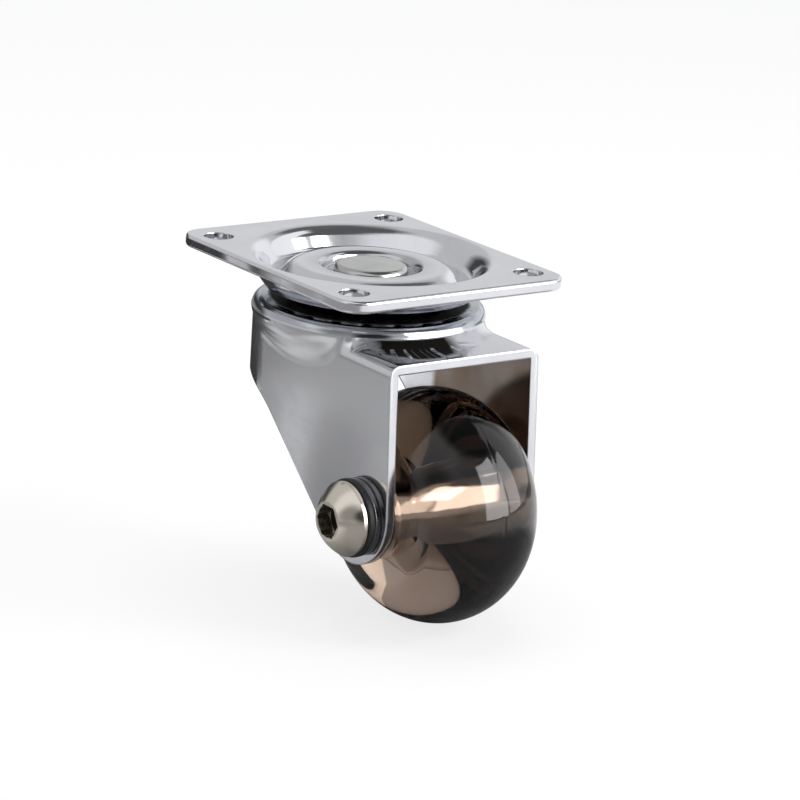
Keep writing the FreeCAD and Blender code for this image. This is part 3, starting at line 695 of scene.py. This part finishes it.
def draw_to(mesh, vertex, radius, side):
    """Extrude a vertex to the next point of the profile."""
    made = bmesh.ops.extrude_vert_indiv(mesh, verts=[vertex])["verts"][0]
    made.co = on_profile(radius, side)
    return made


def swing(mesh, vertex, radius, side, angle, steps):
    """Draw an arc from a vertex round a centre on the profile, and return its last vertex."""
    arc = bmesh.ops.spin(mesh, geom=[vertex], cent=on_profile(radius, side), axis=(1, 0, 0), angle=angle,
                         steps=steps, use_duplicate=False)
    return arc["geom_last"][0]


def draw_profile(mesh):
    first = bmesh.ops.create_vert(mesh, co=on_profile(TREAD_END, -TREAD_HALF))["vert"][0]
    last = swing(mesh, first, WHEEL_RADIUS - TREAD_CROWN, 0.0, -2 * TREAD_TURN, TREAD_STEPS)
    seam = min(mesh.verts, key=lambda vertex: abs(vertex.co.y))
    seam.co.z -= SEAM_DEPTH
    for vertex, side in ((first, -1), (last, 1)):
        bend = side * (TREAD_TURN - math.pi / 2)
        vertex = swing(mesh, vertex, BEND_RADIUS, side * BEND_OUT, bend, BEND_STEPS)
        for radius, out in HUB_POINTS:
            vertex = draw_to(mesh, vertex, radius, side * out)


wheel_mesh = bmesh.new()
draw_profile(wheel_mesh)
print("profile points:", len(wheel_mesh.verts), "side at", round(SIDE_OUT / MM, 2), "mm")

# %% [markdown]
# A full spin about the axle makes the solid, and then the hub gets its rounds: one at its foot, where it
# rises from the side, and one at its edge. Rounds could be in the profile, but a bevel on the finished
# circles needs no points of its own. The bore is a hair smaller than the hub sleeve, so that the steel
# sits wet in the plastic with no air gap between them, which would mirror like a film of silver.

# %% Turn the wheel
TURN_STEPS, ROUND_STEPS = 256, 5
FOOT_ROUND, HUB_ROUND = 0.2 * MM, 0.15 * MM
SAME_POINT, SAME_CIRCLE = 1e-7, 1e-6


def turn_profile(mesh):
    bmesh.ops.remove_doubles(mesh, verts=mesh.verts, dist=SAME_POINT)
    bmesh.ops.spin(mesh, geom=mesh.verts[:] + mesh.edges[:], cent=AXLE, axis=(0, 1, 0), angle=2 * math.pi,
                   steps=TURN_STEPS, use_merge=True)
    bmesh.ops.remove_doubles(mesh, verts=mesh.verts, dist=SAME_POINT)
    bmesh.ops.recalc_face_normals(mesh, faces=mesh.faces)


def edges_at(mesh, radius, side):
    """The edges of the circle of that radius, at that place along the axle."""
    def is_there(vertex):
        offset = vertex.co - AXLE
        right_radius = abs(math.hypot(offset.x, offset.z) - radius) < SAME_CIRCLE
        return right_radius and abs(offset.y - side) < SAME_CIRCLE
    return [edge for edge in mesh.edges if all(is_there(vertex) for vertex in edge.verts)]


turn_profile(wheel_mesh)
for (radius, out), size in zip(HUB_POINTS, (FOOT_ROUND, HUB_ROUND)):
    for side in (-out, out):
        bmesh.ops.bevel(wheel_mesh, geom=edges_at(wheel_mesh, radius, side), offset=size, affect="EDGES",
                        segments=ROUND_STEPS, profile=0.5, material=-1)
print("wheel faces:", len(wheel_mesh.faces), "closed:", all(edge.is_manifold for edge in wheel_mesh.edges))

# %% [markdown]
# A finished bmesh becomes an object at the origin, with its place in its mesh, as the CAD parts are. It
# is attached to the body it rides on, and the CAD node it stands for is hidden. All its faces are smooth,
# apart from edges that turn sharply, such as the ends of the bore.

# %% Hand the wheel over
SHARP_TURN = math.radians(40)


def to_object(name, mesh, material):
    """Make a finished bmesh an object in the scene."""
    data = bpy.data.meshes.new(name)
    mesh.to_mesh(data)
    mesh.free()
    data.materials.append(material)
    made = bpy.data.objects.new(name, data)
    scene.collection.objects.link(made)
    return made


for face in wheel_mesh.faces:
    face.smooth = True
wheel = to_object("smoked_wheel", wheel_mesh, SMOKED_PLASTIC)
wheel.data.set_sharp_from_angle(angle=SHARP_TURN)
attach(wheel, "wheel")
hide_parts("wheel")
print("made", wheel.name, len(wheel.data.polygons), "faces")

# %% [markdown]
# The other parts keep their CAD meshes, so each one only gets its material. Parts that are made alike
# share one: both rings of balls, the bolt and its sleeve nut, the two tubes and the two slip washers.

# %% Dress the CAD nodes
FINISHES = {
    "top_plate": PLATE_METAL,
    "fork": FORK_METAL,
    "lower_race": RACE_METAL,
    "kingpin": PIN_STEEL,
    "upper_balls": SHADED_BALL_STEEL,
    "lower_balls": SHADED_BALL_STEEL,
    "axle_bolt": BOLT_NICKEL,
    "axle_barrel": BOLT_NICKEL,
    "sealing_washer": BLACK_RUBBER,
    "bolt_washer": WASHER_STEEL,
    "hub_sleeve": TUBE_STEEL,
    "axle_tube": TUBE_STEEL,
    "thrust_washer_left": NYLON,
    "thrust_washer_right": NYLON,
}
for name, material in FINISHES.items():
    nodes[name].data.materials.clear()
    nodes[name].data.materials.append(material)
print("dressed:", len(FINISHES))

# %% [markdown]
# The object is done, and the studio begins. A product shot has a white ground, but chrome in a white room
# would look like white plastic, because a mirror shows only what stands round it. So the floor and the
# room answer each ray by where it comes from: the camera sees white, a ray straight through the wheel
# sees a warm ground under a white background, and a mirror sees a room. Light Path tells them apart. It
# counts mirrors in whole numbers, so the limits lie between those.

# %% Where a ray comes from
UNDER_ONE, UNDER_TWO = 0.5, 1.5


def is_below(tree, value, limit):
    return arithmetic(tree, "LESS_THAN", value, limit)


def straight_rays(tree):
    """Share of rays from the camera, and share of rays that came straight through the clear wheel."""
    path = add(tree, "ShaderNodeLightPath").outputs
    unmirrored = is_below(tree, path["Glossy Depth"], UNDER_ONE)
    return path["Is Camera Ray"], times(tree, path["Is Transmission Ray"], unmirrored)


def rays_mirrored_once(tree):
    """Share of rays that just one mirror sent here, with no dull surface on the way."""
    path = add(tree, "ShaderNodeLightPath").outputs
    unmirrored = is_below(tree, path["Glossy Depth"], UNDER_ONE)
    once = minus(tree, is_below(tree, path["Glossy Depth"], UNDER_TWO), unmirrored)
    return times(tree, once, is_below(tree, path["Diffuse Depth"], UNDER_ONE))


def aim_at(azimuth, elevation):
    """Unit vector in a direction given in degrees."""
    turn, rise = math.radians(azimuth), math.radians(elevation)
    return Vector((math.cos(rise) * math.cos(turn), math.cos(rise) * math.sin(turn), math.sin(rise)))


print("ready: rays and directions")

# %% [markdown]
# The camera looks down a little, so the caster's upright faces mirror the ground more than the room: pale
# ground near by, dark ground behind and a bright card that draws a crisp patch inside the fork. Real cards
# could lie on the floor, but the camera would see them too. Patches of paint that it doesn't see are
# simpler. Each one is a soft-edged strip along an azimuth, placed by its distance from the swivel axis.

# %% Patches of the floor that mirrors see
# Each strip has its azimuth in degrees, then its near end, far end, shift to the side, half width and fade
# in mm, and last its grey.
FLOOR_PATCHES = {
    "sunlit floor on the right": (35, 170, 900, 0, 260, 60, 0.75),
    "pale floor at the far right": (118, 70, 900, 0, 110, 30, 0.8),
    "pale ground close by": (-143, 10, 55, 47, 78, 15, 0.57),
    "pale ground behind the shoulder": (-143, 55, 98, -7, 15, 10, 0.62),
    "pale ground at the far left": (-143, 85, 200, 45, 13, 4, 0.41),
    "dark ground far behind": (-143, 185, 600, -100, 100, 6, 0.04),
    "dark ground behind": (-143, 118, 600, -116, 100, 10, 0.04),
    "dark ground at the side": (-143, 60, 600, -150, 100, 14, 0.04),
    "white card behind": (-143, 130, 164, -20, 9.5, 0.6, 1.0),
    "pale strip on the left": (-143, 60, 400, 11.8, 4.2, 1.2, 0.54),
}


def near_middle(tree, value, middle, half, fade):
    """Share that is 1 within half a width of a middle, and fades to 0 beyond it."""
    away = arithmetic(tree, "ABSOLUTE", minus(tree, value, middle))
    return remap(tree, away, half, half + fade, 1.0, 0.0)


def patched(tree, paint):
    """Lay the patches over a paint, one by one."""
    spot = add(tree, "ShaderNodeNewGeometry").outputs["Position"]
    for azimuth, near, far, side, half, fade, grey in FLOOR_PATCHES.values():
        along = vector(tree, "DOT_PRODUCT", spot, aim_at(azimuth, 0))
        across = vector(tree, "DOT_PRODUCT", spot, aim_at(azimuth + 90, 0))
        in_length = near_middle(tree, along, (near + far) / 2 * MM, (far - near) / 2 * MM, fade * MM)
        in_width = near_middle(tree, across, side * MM, half * MM, fade * MM)
        paint = mixed(tree, "RGBA", times(tree, in_length, in_width), paint, (grey, grey, grey, 1))
    return paint


print("floor patches:", len(FLOOR_PATCHES))

# %% [markdown]
# The floor is a wide disc just under the wheel. For the camera it is white paint, mostly made up by a
# glow of strength 1, so that it reads as a white ground and still keeps a soft shadow. A ray that came
# through the wheel sees warm paint, darker near the caster, where its shadow lies, and paler further out.
# Every other ray, above all a mirrored one, sees grey paint with the patches.

# %% Floor
FLOOR_GAP, FLOOR_RADIUS = 0.05 * MM, 5.0
FLOOR_Z = cad_low.z - FLOOR_GAP
WHITE_PAINT, GLOW_SHARE = (0.92, 0.92, 0.92, 1), 0.78
WARM_NEAR, WARM_FAR, WARM_REACH = (0.4, 0.36, 0.3, 1), (0.75, 0.72, 0.68, 1), (80 * MM, 220 * MM)
GREY_PAINT = (0.3, 0.3, 0.3, 1)


def make_floor_paint():
    material, tree = new_material("pale_floor")
    from_camera, through_wheel = straight_rays(tree)
    spot = add(tree, "ShaderNodeNewGeometry").outputs["Position"]
    outwards = remap(tree, from_axis(tree, spot), *WARM_REACH)
    warm = mixed(tree, "RGBA", outwards, WARM_NEAR, WARM_FAR)
    unseen = mixed(tree, "RGBA", through_wheel, patched(tree, GREY_PAINT), warm)
    paint = mixed(tree, "RGBA", from_camera, unseen, WHITE_PAINT)
    painted = add(tree, "ShaderNodeBsdfDiffuse", None, {"Color": paint})
    glow = add(tree, "ShaderNodeEmission", None, {"Strength": 1.0})
    share = times(tree, from_camera, GLOW_SHARE)
    blend = add(tree, "ShaderNodeMixShader", None, {0: share, 1: painted.outputs[0], 2: glow.outputs[0]})
    add(tree, "ShaderNodeOutputMaterial", None, {"Surface": blend.outputs[0]})
    return material


floor_mesh = bmesh.new()
bmesh.ops.create_circle(floor_mesh, cap_ends=True, segments=64, radius=FLOOR_RADIUS)
bmesh.ops.translate(floor_mesh, verts=floor_mesh.verts, vec=(0, 0, FLOOR_Z))
floor = to_object("floor", floor_mesh, make_floor_paint())
print("floor at", round(FLOOR_Z / MM, 2), "mm")

# %% [markdown]
# The camera stands where the photograph was taken. It could be placed by eye, but reflections shift with
# the smallest change of view. So its azimuth, elevation, roll, distance and aim were fitted to the plate's
# corners and holes. A long lens keeps the plate's edges nearly parallel.

# %% Camera
# The angles are in radians. The aim is how far the view's middle lies to the right of and below the origin.
AZIMUTH, ELEVATION, ROLL = -0.637982, 0.283087, 0.0649261
DISTANCE, AIM_RIGHT, AIM_DOWN = 762.6 * MM, 5.9227 * MM, 30.9496 * MM
LENS_MM, SENSOR_MM = 162.0, 36.0

toward = aim_at(math.degrees(AZIMUTH), math.degrees(ELEVATION))
level = (-toward).cross(Vector((0, 0, 1))).normalized()
plumb = (-toward).cross(level)
right = level * math.cos(ROLL) - plumb * math.sin(ROLL)
down = level * math.sin(ROLL) + plumb * math.cos(ROLL)
eye = right * AIM_RIGHT + down * AIM_DOWN + toward * DISTANCE
camera_data = bpy.data.cameras.new("camera")
camera_data.lens = LENS_MM
camera_data.sensor_width = SENSOR_MM
camera_data.clip_start, camera_data.clip_end = 0.01, 50.0
camera = bpy.data.objects.new("camera", camera_data)
scene.collection.objects.link(camera)
facing = Matrix((right, -down, toward)).transposed().to_4x4()
camera.matrix_world = Matrix.Translation(eye) @ facing
scene.camera = camera
print("camera at", [round(v, 3) for v in eye])

# %% [markdown]
# Chrome only shows what stands round it, so the room matters as much as the lamps. A photographed room
# would bring in a picture file. A few soft-edged patches on plain light grey do the same for parts this
# small: walls, a dim ceiling, the dark camera and the dark space behind the caster are cones of
# directions, and a pale wall and two window panes are upright rectangles. The panes are bright only to a
# ray that was mirrored once, so that the wheel shows them sharp and white, and they don't throw bright
# spots through it. Last, an opening that only rays straight through the wheel see brightens it from
# behind.

# %% Patches of the room
# Cones: azimuth, elevation, spread and fade in degrees, and how bright. Rectangles: azimuth and half width,
# elevation and half height, and fade, all in degrees, and how bright.
ROOM_CONES = {
    "wall behind": (143, 15, 8, 8, 0.74),
    "white wall at the far right": (115, 10, 14, 8, 1.0),
    "bright corner high on the left": (-75, 48, 26, 14, 0.9),
    "dim wall beside the camera": (-60, 22, 14, 14, 0.3),
    "ceiling towards the right": (70, 73, 24, 10, 0.12),
    "dark beam overhead": (122, 52, 10, 8, 0.14),
    "space behind the caster": (180, -4, 18, 12, 0.06),
    "camera and its stand": (-30, 17, 13, 8, 0.03),
}
PALE_WALL = (84, 14, 28, 28, 4, 1.05)
PANES = {
    "left pane": (25.5, 17.5, 24, 24, 1.0, 6.0),
    "right pane": (57.5, 10.5, 20, 20, 1.0, 3.8),
}
PANE_PLAIN_LIGHT = 1.2
OPENING = (100, 20.5, 20, 45, 1.0, 2.4)
OPENING_COLOUR = (1.0, 0.99, 0.92, 1)


def cone_share(tree, direction, azimuth, elevation, spread, fade):
    """Share of a round patch of directions, with a soft edge."""
    near = vector(tree, "DOT_PRODUCT", direction, aim_at(azimuth, elevation))
    return remap(tree, near, math.cos(math.radians(spread + fade)), math.cos(math.radians(spread)))


def pane_share(tree, direction, azimuth, half_width, elevation, half_height, fade):
    """Share of an upright rectangle of directions, with a soft edge."""
    parts = parts_of(tree, direction)
    turn = arithmetic(tree, "ARCTAN2", parts["Y"], parts["X"])
    rise = arithmetic(tree, "ARCSINE", parts["Z"])
    edge = math.radians(fade)
    in_width = near_middle(tree, turn, math.radians(azimuth), math.radians(half_width), edge)
    in_height = near_middle(tree, rise, math.radians(elevation), math.radians(half_height), edge)
    return times(tree, in_width, in_height)


print("room cones:", len(ROOM_CONES), "panes:", len(PANES))

# %% [markdown]
# The patches are laid over the grey in turn, as the strength of one background. A second background is
# the white that the camera sees behind the caster, with the opening for rays that come through the wheel.
# Light Path chooses between the two.

# %% Room
ROOM_GREY, ROOM_TINT = 0.6, (0.97, 0.98, 1.0, 1)
WHITE, WHITE_LIGHT = (1, 1, 1, 1), 1.0


def room_light(tree, direction):
    """How bright the room is in a direction."""
    light = ROOM_GREY
    for *shape, bright in ROOM_CONES.values():
        light = mixed(tree, "FLOAT", cone_share(tree, direction, *shape), light, bright)
    *shape, bright = PALE_WALL
    light = mixed(tree, "FLOAT", pane_share(tree, direction, *shape), light, bright)
    mirrored = rays_mirrored_once(tree)
    for *shape, bright in PANES.values():
        glare = mixed(tree, "FLOAT", mirrored, PANE_PLAIN_LIGHT, bright)
        light = mixed(tree, "FLOAT", pane_share(tree, direction, *shape), light, glare)
    return light


def make_room():
    world = bpy.data.worlds.new("room")
    scene.world = world
    world.use_nodes = True
    tree = world.node_tree
    tree.nodes.clear()
    direction = add(tree, "ShaderNodeTexCoord").outputs["Generated"]
    room = add(tree, "ShaderNodeBackground", None, {
        "Color": ROOM_TINT, "Strength": room_light(tree, direction)})
    from_camera, through_wheel = straight_rays(tree)
    *shape, bright = OPENING
    open_share = times(tree, through_wheel, pane_share(tree, direction, *shape))
    white = add(tree, "ShaderNodeBackground", None, {
        "Color": mixed(tree, "RGBA", open_share, WHITE, OPENING_COLOUR),
        "Strength": mixed(tree, "FLOAT", open_share, WHITE_LIGHT, bright)})
    straight = plus(tree, from_camera, through_wheel)
    blend = add(tree, "ShaderNodeMixShader", None, {0: straight, 1: room.outputs[0], 2: white.outputs[0]})
    add(tree, "ShaderNodeOutputWorld", None, {"Surface": blend.outputs[0]})
    return world


print("world:", make_room().name)

# %% [markdown]
# Two softboxes give the dull parts their shape and the floor its shadow: a large one overhead and a
# slightly blue one where the window is. Bare lamps would make hard shadows. Mirrors don't see these
# lamps, because the room already has its panes, and a second set would double every highlight.

# %% Softboxes
LAMPS_AWAY = 0.9
LAMPS = {
    "overhead": {"azimuth": 150, "elevation": 78, "width": 0.6, "height": 0.6, "power": 4.0,
                 "colour": (1, 1, 1)},
    "window": {"azimuth": 48, "elevation": 38, "width": 0.32, "height": 0.4, "power": 3.0,
               "colour": (0.96, 0.97, 1.0)},
}
centre = (cad_low + cad_high) / 2


def make_softbox(name, azimuth, elevation, width, height, power, colour):
    """A soft rectangular lamp that faces the caster. Sizes are in metres and the power in watts."""
    lamp = bpy.data.lights.new(name, "AREA")
    lamp.shape = "RECTANGLE"
    lamp.size, lamp.size_y = width, height
    lamp.energy = power
    lamp.color = colour
    box = bpy.data.objects.new(name, lamp)
    scene.collection.objects.link(box)
    box.location = centre + aim_at(azimuth, elevation) * LAMPS_AWAY
    box.rotation_euler = (centre - box.location).to_track_quat("-Z", "Y").to_euler()
    box.visible_camera = False
    box.visible_glossy = False


for name, lamp_sizes in LAMPS.items():
    make_softbox(name, **lamp_sizes)
print("lamps:", [light.name for light in bpy.data.lights])

# %% [markdown]
# Last, colours are shown as they are written, with the Standard view. A filmic one would grey the white
# ground.

# %% View, and the end
scene.view_settings.view_transform = "Standard"
